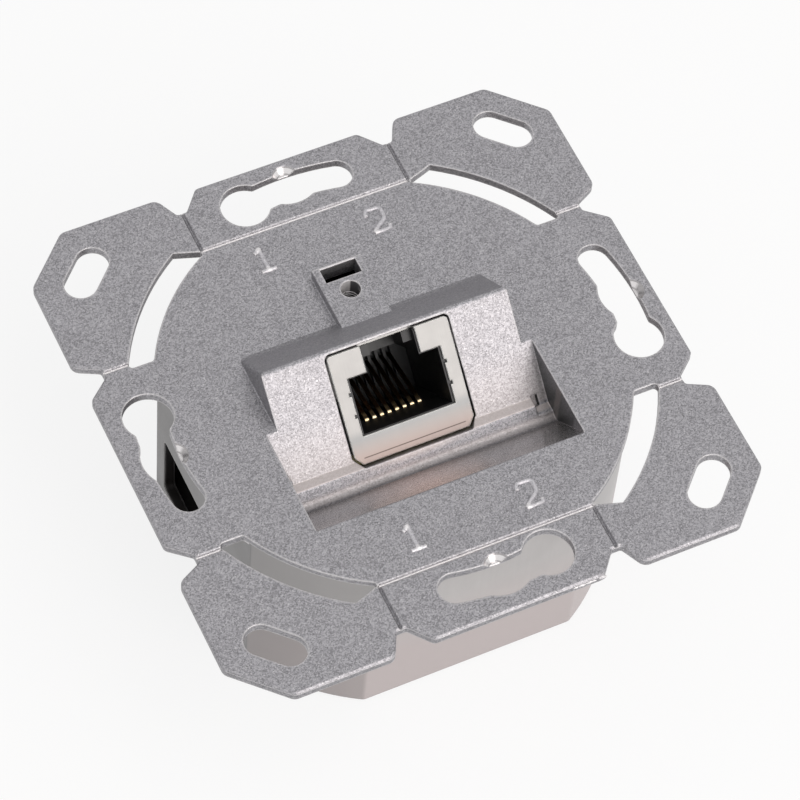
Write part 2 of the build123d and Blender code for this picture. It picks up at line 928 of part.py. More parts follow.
def terminal_block(side):
    """A block under the board with a wire slot and a blade pocket for each terminal."""
    middle = side * (block_inner + block_width / 2)
    low = middle - block_width / 2
    high = middle + block_width / 2
    length = 2 * block_end_margin + (contact_count // 2 - 1) * block_wire_pitch
    bottom = board_bottom - block_height
    block = slope_block(low, high, bottom, board_bottom, block_start + length, block_start)
    rim = block.faces().sort_by(SortBy.DISTANCE)
    facing = [f for f in rim if abs(f.normal_at().dot(jack_plane.y_dir) + 1) < 0.01]
    block = chamfer(facing[0].edges(), tooth_bevel)
    cuts = []
    for u, depth in blade_places():
        if u * side < 0:
            continue
        cuts.append(
            slope_block(
                low - 1,
                high + 1,
                bottom - 1,
                bottom + wire_slot_depth,
                depth + wire_slot_width / 2,
                depth - wire_slot_width / 2,
            )
        )
        half = blade_thickness / 2 + blade_clearance
        pocket = blade_width / 2 + blade_clearance
        cuts.append(
            slope_block(u - half, u + half, bottom - 1, board_bottom + 1, depth + pocket, depth - pocket)
        )
    return block - cuts


def blade(place):
    """A slotted terminal blade with its solder pin."""
    u, depth = place
    half = blade_thickness / 2
    tip = board_bottom - blade_length
    edge = blade_width / 2
    body = slope_block(u - half, u + half, tip, board_bottom, depth + edge, depth - edge)
    slit = slope_block(
        u - 1,
        u + 1,
        tip - 1,
        tip + blade_slit_length,
        depth + blade_slit_width / 2,
        depth - blade_slit_width / 2,
    )
    pin = slope_block(
        u - half,
        u + half,
        board_bottom - 0.2,
        board_top + solder_tail,
        depth + blade_pin_width / 2,
        depth - blade_pin_width / 2,
    )
    return body - slit + pin


# Earth springs
def earth_spring(side):
    """A folded strip: a foot on the back of the face wall and a leaf along the jack's side."""
    low = earth_spring_middle - earth_spring_height / 2
    high = earth_spring_middle + earth_spring_height / 2
    near = jack_half_width
    foot = slope_block(
        min(side * near, side * (near + earth_spring_foot)),
        max(side * near, side * (near + earth_spring_foot)),
        low,
        high,
        face_wall + earth_spring_thickness,
        face_wall,
    )
    leaf = slope_block(
        min(side * near, side * (near + earth_spring_thickness)),
        max(side * near, side * (near + earth_spring_thickness)),
        low,
        high,
        face_wall + earth_spring_leaf,
        face_wall,
    )
    return foot + leaf


# Cable clamp
def cable_clamp():
    """The saddle: two ears and an arch around the cable, folded from one strip."""
    outer = cable_radius + clamp_sheet
    arch = Pos(0, cable_axis_z) * (Circle(outer) - Circle(cable_radius))
    arch = arch & (Pos(0, clamp_ear_z - outer) * Rectangle(4 * outer, 2 * outer))
    ear_length = clamp_ear_half_span - cable_radius
    for side in (-1, 1):
        ear = Pos(side * (cable_radius + ear_length / 2), clamp_ear_z - clamp_sheet / 2)
        arch = arch + ear * Rectangle(ear_length, clamp_sheet)
    arch = arch - Pos(0, cable_axis_z) * Circle(cable_radius)
    upright = Plane(origin=(clamp_x, 0, 0), x_dir=(0, 1, 0), z_dir=(1, 0, 0))
    saddle = extrude(upright * arch, amount=clamp_width / 2, both=True)
    for side in (-1, 1):
        hole = clamp_screw_radius + board_hole_clearance
        saddle = saddle - cylinder_down(clamp_x, side * clamp_post_y, hole, 0, cable_axis_z - 3 * outer)
    return saddle


def clamp_screws():
    """The two screws that pull the saddle towards the plate."""
    top = clamp_ear_z - clamp_sheet
    outline = Polyline(
        (0, 0, top - clamp_head_height),
        (clamp_head_radius, 0, top - clamp_head_height),
        (clamp_head_radius, 0, top),
        (clamp_screw_radius, 0, top),
        (clamp_screw_radius, 0, top + clamp_screw_length),
        (0, 0, top + clamp_screw_length),
        close=True,
    )
    screw = revolve(make_face(outline), axis=Axis.Z)
    return Compound(children=[Pos(clamp_x, side * clamp_post_y, 0) * screw for side in (-1, 1)])


# Write every piece
pieces = {
    "mounting_plate": mounting_plate(),
    "rear_housing": rear_housing(),
    "housing_screws": housing_screws(),
    "jack_shield": jack_shield(),
    "jack_body": jack_body(),
    "contact_carrier": contact_carrier(),
    "circuit_board": circuit_board(),
    "board_screws": board_screws(),
    "terminal_block_left": terminal_block(-1),
    "terminal_block_right": terminal_block(1),
    "earth_spring_left": earth_spring(-1),
    "earth_spring_right": earth_spring(1),
    "cable_clamp": cable_clamp(),
    "clamp_screws": clamp_screws(),
}
for number in range(contact_count):
    pieces[f"contact_{number + 1}"] = contact(number)
for number, place in enumerate(blade_places()):
    pieces[f"blade_{number + 1}"] = blade(place)

os.makedirs("parts", exist_ok=True)
for name, shape in pieces.items():
    export_step(shape, f"parts/{name}.step")
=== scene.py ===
import json
import math
import random
import bpy
import bmesh
from mathutils import Matrix, Vector


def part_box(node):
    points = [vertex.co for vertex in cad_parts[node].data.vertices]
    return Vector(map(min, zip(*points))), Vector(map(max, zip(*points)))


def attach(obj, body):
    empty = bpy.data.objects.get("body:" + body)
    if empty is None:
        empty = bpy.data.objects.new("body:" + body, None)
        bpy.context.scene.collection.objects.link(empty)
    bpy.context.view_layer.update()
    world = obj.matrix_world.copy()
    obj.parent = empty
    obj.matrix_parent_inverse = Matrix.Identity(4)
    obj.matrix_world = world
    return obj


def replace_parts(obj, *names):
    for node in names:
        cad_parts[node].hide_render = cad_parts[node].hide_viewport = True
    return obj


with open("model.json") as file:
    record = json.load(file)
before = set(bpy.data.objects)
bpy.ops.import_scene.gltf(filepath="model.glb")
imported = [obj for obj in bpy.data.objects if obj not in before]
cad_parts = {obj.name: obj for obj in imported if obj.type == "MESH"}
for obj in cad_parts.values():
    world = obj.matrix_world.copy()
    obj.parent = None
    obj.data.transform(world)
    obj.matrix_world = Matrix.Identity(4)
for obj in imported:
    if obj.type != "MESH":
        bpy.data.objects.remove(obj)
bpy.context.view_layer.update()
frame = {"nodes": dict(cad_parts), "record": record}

nodes = frame["nodes"]
scene = bpy.context.scene
mm = 0.001
print("frame loaded,", len(nodes), "solid nodes")

# Camera, set to the photograph's view: its right, up and backward directions
cameraSet = {
    "place": (-0.130604, -0.229144, 0.401797),
    "right": (0.904661, -0.422574, 0.054956),
    "up": (0.328354, 0.773460, 0.542165),
    "back": (-0.271612, -0.472430, 0.838473),
    "lens": 177.75,
    "sensor": 36,
    "nearest": 0.01,
}
cameraData = bpy.data.cameras.new("view")
cameraData.lens = cameraSet["lens"]
cameraData.sensor_width = cameraSet["sensor"]
cameraData.clip_start = cameraSet["nearest"]
camera = bpy.data.objects.new("view", cameraData)
scene.collection.objects.link(camera)
turn = Matrix((cameraSet["right"], cameraSet["up"], cameraSet["back"])).transposed()
camera.matrix_world = Matrix.Translation(cameraSet["place"]) @ turn.to_4x4()
scene.camera = camera
print("camera placed")


class Wire:                                     # a socket that takes part in plain sums
    def __init__(self, tree, socket=None):
        self.tree = tree
        self.socket = socket

    def make(self, kind, settings=None, sockets=None, out=0):
        made = self.tree.nodes.new(kind)
        for name, value in (settings or {}).items():
            if name == "stops":
                stops = made.color_ramp.elements
                for stop, (place, colour) in zip(stops, value):
                    stop.position = place
                    stop.color = colour
            else:
                setattr(made, name, value)
        for name, value in (sockets or {}).items():
            if isinstance(value, Wire):
                self.tree.links.new(value.socket, made.inputs[name])
            else:
                made.inputs[name].default_value = value
        return Wire(self.tree, made.outputs[out]) if len(made.outputs) else None

    def maths(self, operation, first, second=0.0, clamp=False):
        settings = {"operation": operation, "use_clamp": clamp}
        return self.make("ShaderNodeMath", settings, {0: first, 1: second})

    def __add__(self, other):
        return self.maths("ADD", self, other)

    def __radd__(self, other):
        return self.maths("ADD", other, self)

    def __sub__(self, other):
        return self.maths("SUBTRACT", self, other)

    def __rsub__(self, other):
        return self.maths("SUBTRACT", other, self)

    def __mul__(self, other):
        return self.maths("MULTIPLY", self, other)

    def __truediv__(self, other):
        return self.maths("DIVIDE", self, other)

    def __pow__(self, other):
        return self.maths("POWER", self, other)

    def __abs__(self):
        return self.maths("ABSOLUTE", self)

    def larger(self, other):
        return self.maths("MAXIMUM", self, other)

    def above(self, edge, soft):                # 0 up to the edge, rising to 1 over soft
        return self.maths("ADD", (self - edge) / soft, 0.0, True)

    def below(self, edge, soft):                # 0 from the edge up, rising to 1 under it
        return self.maths("ADD", (edge - self) / soft, 0.0, True)

    def tint(self, factor, under, over):
        return self.make("ShaderNodeMix", {"data_type": "RGBA"}, {0: factor, 6: under, 7: over}, 2)


def rgb(red, green, blue):                      # screen values 0..255 to a linear colour
    def straight(value):
        value /= 255
        return value / 12.92 if value <= 0.04045 else ((value + 0.055) / 1.055) ** 2.4
    return (straight(red), straight(green), straight(blue), 1.0)


def bareMaterial(name):
    material = bpy.data.materials.new(name)
    material.use_nodes = True
    material.node_tree.nodes.clear()
    return material, Wire(material.node_tree)


def startFinish(name):                          # a bare material, and the place on it in mm
    material, wire = bareMaterial(name)
    place = wire.make("ShaderNodeTexCoord", out="Object")
    inMm = wire.make("ShaderNodeVectorMath", {"operation": "SCALE"}, {0: place, "Scale": 1 / mm})
    return material, wire, inMm


def endFinish(wire, sockets):
    shader = wire.make("ShaderNodeBsdfPrincipled", None, sockets)
    wire.make("ShaderNodeOutputMaterial", None, {"Surface": shader})


def parts(wire, vector):
    split = wire.make("ShaderNodeSeparateXYZ", None, {0: vector}).socket.node
    return [Wire(wire.tree, socket) for socket in split.outputs]


def facingParts(wire):                          # the surface's direction
    return parts(wire, wire.make("ShaderNodeNewGeometry", out="Normal"))


def joinedVector(wire, x, y, z):
    return wire.make("ShaderNodeCombineXYZ", None, {0: x, 1: y, 2: z})


def noise(wire, vector, scale, detail, rough=0.5):
    sockets = {"Vector": vector, "Scale": scale, "Detail": detail, "Roughness": rough}
    return wire.make("ShaderNodeTexNoise", None, sockets)


def ramp(wire, tone, low, high, start=0.0, end=1.0):
    return wire.make("ShaderNodeValToRGB", {"stops": [(start, low), (end, high)]}, {0: tone})


# What all finishes share: rays per sample, the range of worn and highlighted edges, the rim of round spots
finishSet = {"rays": 6, "wearAndHighlightRange": (0.2, 0.25), "spotRim": 0.12}


def relief(wire, height, distance, bend=None):  # bump in metres, over edges rounded by bend
    sockets = {"Height": height, "Distance": distance}
    if bend:
        sockets["Normal"] = wire.make("ShaderNodeBevel", {"samples": finishSet["rays"]}, {"Radius": bend})
    return wire.make("ShaderNodeBump", None, sockets)


# Worn tone and painted highlight on outer edges only: close to one, rays sent inwards soon meet the next
# face
def edgeWearAndHighlight(wire, reach):
    settings = {"inside": True, "only_local": True, "samples": finishSet["rays"]}
    inside = wire.make("ShaderNodeAmbientOcclusion", settings, {"Distance": reach}, "AO")
    return (1 - inside).above(*finishSet["wearAndHighlightRange"])


def discAt(x, y, spot, radius):                 # 1 inside a round spot, seen from above
    away = ((x - spot[0]) * (x - spot[0]) + (y - spot[1]) * (y - spot[1])) ** 0.5
    return away.below(radius, finishSet["spotRim"])


# The jack's face leans back at 45 degrees from this line of the plate's top
jackFace = {"y": -1.75, "z": 1.2, "lean": math.sqrt(0.5)}


def slopeParts(y, z):                           # a direction's share up the face and out of it
    return (y + z) * jackFace["lean"], (z - y) * jackFace["lean"]


def slopePlace(y, z):                           # the same for a place, in mm
    return slopeParts(y - jackFace["y"], z - jackFace["z"])


def fromSlope(x, up, out):                      # back from there to the part's frame
    lean = jackFace["lean"]
    return Vector((x, jackFace["y"] + (up - out) * lean, jackFace["z"] + (up + out) * lean))


# Die-cast zinc: a fine sparkling grain, lighter edges from wear and a painted highlight, smoother slope in
# the trough
castSet = {
    "dark": rgb(100, 99, 102),
    "light": rgb(190, 188, 192),
    "edge": rgb(232, 229, 229),
    "slope": rgb(164, 161, 161),
    "slopeLight": rgb(194, 190, 189),
    "warmReflection": rgb(226, 200, 191),
    "brinkDarkReflection": rgb(152, 144, 141),
    "hoodBackShade": rgb(134, 132, 136),
    "inclineLight": rgb(240, 226, 218),
    "ledgeGlow": rgb(208, 197, 193),
    "wallShade": rgb(62, 64, 64),
    "grainSize": 6.2,
    "speckNoise": (8.5, 2.0, 0.6),              # size, detail and roughness
    "mottleNoise": (0.5, 3.0, 0.55),
    "grainShare": 0.52,
    "speckShare": 1.05,
    "mottleShare": 0.18,
    "smoothShare": 0.85,
    "paintedGlint": (0.95, 0.03),
    "paintedGlintShare": 0.22,
    "base": 0.47,
    "metal": 0.86,
    "rough": 0.45,
    "roughGrain": 0.08,
    "roughGlint": 0.06,
    "roughSmooth": 0.24,
    "plainStart": 0.4,
    "plainGain": 1.2,
    "bumpGrain": 0.5,
    "bumpSpeck": 0.9,
    "bumpSmooth": 0.94,
    "bumpHeight": 0.000004,
    "edgeRadius": 0.0003,
    "wearAndHighlightReach": 0.00036,
    "coverHole": ((0.0, 12.85), 1.5),
    "coverHoleMetal": 0.26,
    "coverHoleAcross": (0.905, 0.42),
    "scoops": [(0.0, 32.35), (32.35, 0.0), (0.0, -28.95), (-28.95, 0.0)],
    "scoopRadius": 1.75,
}

# Where each tone lies, as an edge and its softness, in mm or of the surface's direction
castZones = {
    "slope": {"up": (0.985, 0.02), "z": (1.1, 0.15), "y": (-9.0, 0.3)},
    "holeWall": {"nz": (0.5, 0.2), "split": (-0.1, 0.15)},
    "scoop": {"z": (1.17, 0.04), "nz": (0.1, 0.1)},
    "hoodBackShade": {"ny": (0.5, 0.1), "z": (1.4, 0.3), "y": (9.0, 0.5), "share": 0.6},
    "trough": {"x": (20.0, 0.5), "middle": -7.0, "y": (7.0, 0.5), "z": (1.05, 0.1)},
    "ledge": {"y": (-8.6, 0.4)},
    "glow": {"x": (9.0, 7.0), "share": 0.45, "nz": (0.86, 0.08), "flatShare": 0.65},
    "sideWall": {"nx": (0.7, 0.2), "z": (1.0, 4.5), "share": 0.6, "least": 0.4},
    "hood": {"x": (20.0, 0.5), "middle": -5.0, "y": (12.0, 0.5)},
    "score": {
        "ny": (-0.25, 0.2), "nz": (0.25, 0.15),
        "low": (0.4, 0.1), "high": (1.0, 0.05), "share": 0.8,
    },
    "inclineLight": {"out": (0.98, 0.015), "y": (-7.4, 0.3), "top": 1.2, "depth": 36, "least": 0.03},
    "brinkDarkReflection": {"middle": -9.5, "y": (0.8, 0.4), "share": 0.5},
    "warmReflection": {"middle": -2.0, "x": (9.0, 8.0), "share": 0.8},
    "wearAndHighlight": {"share": 0.8, "trough": 0.85, "speck": 0.9, "least": 0.3},
}


def castZinc(name="castZinc", lift=0.0):
    tones, at = castSet, castZones
    material, wire, place = startFinish(name)
    x, y, z = parts(wire, place)
    nx, ny, nz = facingParts(wire)
    facingUp, facingOut = slopeParts(ny, nz)
    grains = {"Vector": place, "Scale": tones["grainSize"]}
    sparkle = wire.make("ShaderNodeTexVoronoi", None, grains, "Color")
    cell, glintCell, roughCell = parts(wire, sparkle)
    speck = noise(wire, place, *tones["speckNoise"])
    mottle = noise(wire, place, *tones["mottleNoise"])

    # The places without grain: the far slope, the cover screw's hole and the pinch scoops
    zone = at["slope"]
    slope = facingUp.above(*zone["up"]) * z.below(*zone["z"]) * y.below(*zone["y"])
    hole = discAt(x, y, *tones["coverHole"]) * abs(nz).below(*at["holeWall"]["nz"])
    smooth = slope.larger(hole)
    for scoop in tones["scoops"]:
        pressed = z.below(*at["scoop"]["z"]) * nz.above(*at["scoop"]["nz"])
        smooth = smooth.larger(discAt(x, y, scoop, tones["scoopRadius"]) * pressed)

    # Grain, with painted glints on a few crystals
    tone = (cell - 0.5) * tones["grainShare"] + (speck - 0.5) * tones["speckShare"]
    tone = tone + (mottle - 0.5) * tones["mottleShare"] + (tones["base"] + lift)
    paintedGlint = glintCell.above(*tones["paintedGlint"])
    grain = ramp(wire, tone, tones["dark"], tones["light"])
    grain = wire.tint(paintedGlint * tones["paintedGlintShare"], grain, tones["edge"])
    mottled = (mottle - tones["plainStart"]) * tones["plainGain"]
    plain = wire.tint(mottled, tones["slope"], tones["slopeLight"])
    colour = wire.tint(smooth * tones["smoothShare"], grain, plain)

    # Painted shade on the back of the hood, and painted light on one side of the cover screw's hole with
    # painted shade on the other
    zone = at["hoodBackShade"]
    hoodBackShade = ny.above(*zone["ny"]) * z.above(*zone["z"]) * y.below(*zone["y"])
    colour = wire.tint(hoodBackShade * zone["share"], colour, tones["hoodBackShade"])
    # Painted light on one half of the hole's wall, painted shade on the other half
    acrossX, acrossY = tones["coverHoleAcross"]
    across = x * acrossX - (y - tones["coverHole"][0][1]) * acrossY
    litAndShadedHalves = wire.tint(across.above(*at["holeWall"]["split"]), tones["edge"], tones["dark"])
    colour = wire.tint(hole, colour, litAndShadedHalves)

    # Trough: light thrown back on the ledge, and the shaded side walls
    zone = at["trough"]
    trough = abs(x).below(*zone["x"]) * abs(y - zone["middle"]).below(*zone["y"]) * z.below(*zone["z"])
    zone = at["glow"]
    glow = (abs(x).below(*zone["x"]) * zone["share"]).larger(nz.above(*zone["nz"]) * zone["flatShare"])
    colour = wire.tint(trough * y.above(*at["ledge"]["y"]) * glow, colour, tones["ledgeGlow"])
    zone = at["sideWall"]
    sideWall = abs(nx).above(*zone["nx"]) * trough * (z.below(*zone["z"]) * zone["share"] + zone["least"])
    colour = wire.tint(sideWall, colour, tones["wallShade"])

    # Painted highlight on the bright flanks of the score lines, outside the hood and the trough
    zone = at["hood"]
    hood = abs(x).below(*zone["x"]) * abs(y - zone["middle"]).below(*zone["y"])
    zone = at["score"]
    scoreFlankHighlight = ny.below(*zone["ny"]) * nz.above(*zone["nz"]) * z.above(*zone["low"]) * z.below(*zone["high"])
    colour = wire.tint(scoreFlankHighlight * (1 - hood) * zone["share"], colour, tones["edge"])

    # Painted light on the inclined face, stronger towards its foot; painted dark reflection along the
    # ledge's brink and a painted warm reflection on the far slope
    zone = at["inclineLight"]
    inclineLight = facingOut.above(*zone["out"]) * hood * y.above(*zone["y"])
    sunk = ((zone["top"] - z) / zone["depth"]).larger(0.0)
    colour = wire.tint(inclineLight * (sunk + zone["least"]), colour, tones["inclineLight"])
    # Painted dark reflection along the ledge's brink
    zone = at["brinkDarkReflection"]
    brinkDarkReflection = trough * abs(y - zone["middle"]).below(*zone["y"])
    colour = wire.tint(brinkDarkReflection * zone["share"], colour, tones["brinkDarkReflection"])
    # Painted warm reflection on the far slope
    zone = at["warmReflection"]
    warmReflection = abs(x - zone["middle"]).below(*zone["x"]) * slope
    colour = wire.tint(warmReflection * zone["share"], colour, tones["warmReflection"])

    # Painted highlight, with wear, on the outer edges, less in the trough
    zone = at["wearAndHighlight"]
    wearAndHighlight = edgeWearAndHighlight(wire, tones["wearAndHighlightReach"]) * (speck * zone["speck"] + zone["least"])
    wearAndHighlight = wearAndHighlight * (1 - trough * zone["trough"])
    colour = wire.tint(wearAndHighlight * zone["share"], colour, tones["edge"])
    rough = tones["rough"] + (roughCell - 0.5) * tones["roughGrain"]
    rough = rough - paintedGlint * tones["roughGlint"] - smooth * tones["roughSmooth"]
    height = cell * tones["bumpGrain"] + speck * tones["bumpSpeck"]
    height = height * (1 - smooth * tones["bumpSmooth"])
    endFinish(wire, {
        "Base Color": colour,
        "Metallic": tones["metal"] - hole * (tones["metal"] - tones["coverHoleMetal"]),
        "Roughness": rough,
        "Normal": relief(wire, height, tones["bumpHeight"], tones["edgeRadius"]),
    })
    return material


# Rear housing: smooth satin casting with faint upright draw marks, painted shade making it darker towards
# the cable
housingSet = {
    "dark": rgb(178, 175, 174),
    "light": rgb(196, 193, 192),
    "low": rgb(189, 178, 177),
    "sideShade": rgb(114, 112, 112),
    "cableSideShade": rgb(120, 118, 118),
    "inside": rgb(46, 43, 42),
    "edge": rgb(224, 221, 220),
    "metal": 0.55,
    "rough": 0.4,
    "bumpHeight": 0.000010,
    "edgeRadius": 0.0006,
    "wearAndHighlightReach": 0.0004,
    "cloudNoise": (0.18, 3.0),
    "cloudShare": 1.1,
    "drawnNoise": (1.4, 3.0),
    "drawnStretch": (1.6, 0.09),
    "drawnShare": 0.3,
    "fineNoise": (5.5, 2.0),
    "fineShare": 0.45,
    "base": 0.5,
    "roughCloud": 0.14,
    "roughFine": 0.1,
    "bumpCloud": 2.0,
    "bumpDrawn": 0.5,
    "bumpFine": 0.4,
    "lowZ": (-9.0, 10.0),
    "lowShare": 0.8,
    "sideShadeX": (0.1, 0.9),
    "sideShadeShare": 0.7,
    "wearAndHighlightShare": 0.35,
    "cableSideShadeX": (0.95, 0.04),
    "insideReach": (-2.0, 1.0),
    "insideFloor": (-20.0, 1.0),
    "insideFacing": (0.5, 0.2),
}


def housingMetal():
    values = housingSet
    material, wire, place = startFinish("housingMetal")
    x, y, z = parts(wire, place)
    nx, ny, nz = facingParts(wire)
    cloud = noise(wire, place, *values["cloudNoise"])
    around, upright = values["drawnStretch"]
    stretched = joinedVector(wire, x * around, y * around, z * upright)
    drawn = noise(wire, stretched, *values["drawnNoise"])
    fine = noise(wire, place, *values["fineNoise"])
    tone = (cloud - 0.5) * values["cloudShare"] + (drawn - 0.5) * values["drawnShare"]
    tone = tone + (fine - 0.5) * values["fineShare"] + values["base"]
    colour = ramp(wire, tone, values["dark"], values["light"])
    colour = wire.tint(z.below(*values["lowZ"]) * values["lowShare"], colour, values["low"])
    # Painted shade on the sides that face the cable, darkest on the cable side itself
    colour = wire.tint((0 - nx).above(*values["sideShadeX"]) * values["sideShadeShare"], colour, values["sideShade"])
    colour = wire.tint((0 - nx).above(*values["cableSideShadeX"]), colour, values["cableSideShade"])
    # Painted shade inside the housing, on its inner wall and floor
    wall = (nx * x + ny * y).below(*values["insideReach"])
    floorInside = nz.above(*values["insideFacing"]) * z.below(*values["insideFloor"])
    colour = wire.tint(wall.larger(floorInside), colour, values["inside"])     # painted shade within
    # Painted highlight, with wear, on the outer edges
    wearAndHighlight = edgeWearAndHighlight(wire, values["wearAndHighlightReach"]) * values["wearAndHighlightShare"]
    colour = wire.tint(wearAndHighlight, colour, values["edge"])
    rough = values["rough"] + (cloud - 0.5) * values["roughCloud"] + (fine - 0.5) * values["roughFine"]
    height = cloud * values["bumpCloud"] + drawn * values["bumpDrawn"] + fine * values["bumpFine"]
    endFinish(wire, {
        "Base Color": colour,
        "Metallic": values["metal"],
        "Roughness": rough,
        "Normal": relief(wire, height, values["bumpHeight"], values["edgeRadius"]),
    })
    return material


# Sheet metal: brushed along the slope of the jack
sheetSet = {
    "jack": {
        "low": rgb(126, 125, 124),
        "high": rgb(144, 143, 141),
        "edge": rgb(236, 235, 231),
        "rough": 0.34,
        "bend": 0.0002,
    },
    "tinned": {
        "low": rgb(178, 176, 174),
        "high": rgb(214, 212, 210),
        "edge": rgb(228, 226, 224),
        "rough": 0.38,
        "bend": 0.00012,
    },
    "zincPlated": {
        "low": rgb(168, 172, 178),
        "high": rgb(206, 210, 216),
        "edge": rgb(232, 234, 238),
        "rough": 0.3,
        "bend": 0.00012,
    },
    # The springs' gold, darkened by painted shade
    "gold": {
        "low": rgb(86, 62, 46),
        "high": rgb(118, 88, 64),
        "edge": rgb(176, 142, 100),
        "rough": 0.3,
        "bend": 0.0001,
    },
}
sheetGrain = {
    "across": 9.0,
    "along": 0.35,
    "out": 5.0,
    "brushedNoise": (1.0, 4.0, 0.65),
    "brushedShare": 1.1,
    "cloudNoise": (0.5, 3.0),
    "cloudShare": 0.8,
    "base": 0.5,
    "roughBrushed": 0.18,
    "bumpHeight": 0.000003,
    "wearAndHighlightReach": 0.00014,
    "wearAndHighlightShare": 0.7,
}

# Bands on the jack's frame by their height up its face, painted shade along the crease above its lip, a
# painted highlight on its cut edges
frameSet = {
    "cool": rgb(119, 120, 120),
    "coolUp": (-3.4, 0.8),
    "coolShare": 0.8,
    "warm": rgb(143, 131, 126),
    "warmUp": (-4.6, 2.2),
    "warmShare": 0.9,
    "creaseShade": rgb(70, 62, 58),
    "creaseUp": -6.85,
    "creaseWidth": (0.09, 0.05),
    "creaseEnds": (6.9, 0.15),
    "creaseOut": (-0.3, 0.05),
    "creaseShare": 0.85,
    "cutFacing": (0.5, 0.2),
    "cutOut": (-0.45, 0.1),
    "cutHighlightShare": 0.9,
    "cutDull": 0.85,
}

# Contact springs: painted shade, dark along them and darker up in the cavity; gold with a painted highlight
# where the plug touches
springSet = {
    "deep": rgb(34, 28, 24),
    "cavityShadeUp": (-1.5, 2.5),
    "cavityShadeShare": 0.6,
    "bright": rgb(226, 190, 128),
    "kneeHighlight": rgb(254, 240, 206),
    "brightOut": (-6.75, 0.5),
}


def sheetMetal(kind):
    values = sheetSet[kind]
    material, wire, place = startFinish(kind + "Metal")
    x, y, z = parts(wire, place)
    up, out = slopePlace(y, z)
    along = joinedVector(wire, x * sheetGrain["across"], up * sheetGrain["along"], out * sheetGrain["out"])
    brushed = noise(wire, along, *sheetGrain["brushedNoise"])
    cloud = noise(wire, place, *sheetGrain["cloudNoise"])
    tone = (brushed - 0.5) * sheetGrain["brushedShare"] + (cloud - 0.5) * sheetGrain["cloudShare"]
    tone = tone + sheetGrain["base"]
    colour = ramp(wire, tone, values["low"], values["high"])
    metal = 1.0
    if kind == "jack":
        colour = wire.tint(up.below(*frameSet["coolUp"]) * frameSet["coolShare"], colour, frameSet["cool"])
        colour = wire.tint(up.below(*frameSet["warmUp"]) * frameSet["warmShare"], colour, frameSet["warm"])
        # Painted shade along the crease above the lip
        creaseShade = abs(up - frameSet["creaseUp"]).below(*frameSet["creaseWidth"])
        creaseShade = creaseShade * abs(x).below(*frameSet["creaseEnds"]) * out.above(*frameSet["creaseOut"])
        colour = wire.tint(creaseShade * frameSet["creaseShare"], colour, frameSet["creaseShade"])
        nx, ny, nz = facingParts(wire)
        facingUp, facingOut = slopeParts(ny, nz)
        # Painted highlight on the cut edges, made less metallic
        cut = abs(facingOut).below(*frameSet["cutFacing"]) * out.above(*frameSet["cutOut"])
        colour = wire.tint(cut * frameSet["cutHighlightShare"], colour, values["edge"])
        metal = 1 - cut * frameSet["cutDull"]
    # Painted highlight, with wear, on the outer edges
    wearAndHighlight = edgeWearAndHighlight(wire, sheetGrain["wearAndHighlightReach"]) * sheetGrain["wearAndHighlightShare"]
    colour = wire.tint(wearAndHighlight, colour, values["edge"])
    if kind == "gold":
        # Painted shade up in the cavity, and gold with a painted highlight at the knees
        deep = up.above(*springSet["cavityShadeUp"]) * springSet["cavityShadeShare"]
        colour = wire.tint(deep, colour, springSet["deep"])
        knee = wire.tint(cloud, springSet["bright"], springSet["kneeHighlight"])
        colour = wire.tint(out.above(*springSet["brightOut"]), colour, knee)
    endFinish(wire, {
        "Base Color": colour,
        "Metallic": metal,
        "Roughness": values["rough"] + (brushed - 0.5) * sheetGrain["roughBrushed"],
        "Normal": relief(wire, brushed, sheetGrain["bumpHeight"], values["bend"]),
    })
    return material


# Moulded plastics
plasticSet = {
    "black": {"low": rgb(12, 12, 13), "high": rgb(25, 25, 26), "rough": 0.38},
    "white": {"low": rgb(214, 213, 205), "high": rgb(238, 237, 230), "rough": 0.42},
}
plasticGrain = {
    "cloudNoise": (0.7, 4.0),
    "fineNoise": (9.0, 2.0),
    "rampEnds": (0.3, 0.75),
    "roughCloud": 0.2,
    "bumpHeight": 0.000005,
}


def plastic(kind):
    values = plasticSet[kind]
    material, wire, place = startFinish(kind + "Plastic")
    cloud = noise(wire, place, *plasticGrain["cloudNoise"])
    fine = noise(wire, place, *plasticGrain["fineNoise"])
    endFinish(wire, {
        "Base Color": ramp(wire, cloud, values["low"], values["high"], *plasticGrain["rampEnds"]),
        "Roughness": values["rough"] + (cloud - 0.5) * plasticGrain["roughCloud"],
        "Normal": relief(wire, fine, plasticGrain["bumpHeight"]),
    })
    return material


# Circuit board: green mask over copper tracks, bare laminate on its edges
boardSet = {
    "dark": rgb(10, 62, 34),
    "light": rgb(18, 86, 48),
    "track": rgb(42, 124, 70),
    "laminate": rgb(172, 160, 108),
    "weaveSize": 3.0,
    "weaveNoise": (1.0, 3.0),
    "trackPitch": 0.635,
    "trackMiddle": 0.32,
    "trackWidth": (0.11, 0.06),
    "trackStart": (13.5, 0.3),
    "trackSlant": 0.5,
    "trackShare": 0.7,
    "facing": (0.9, 0.05),
    "rough": 0.34,
    "bumpWeave": 0.2,
    "bumpHeight": 0.00003,
}


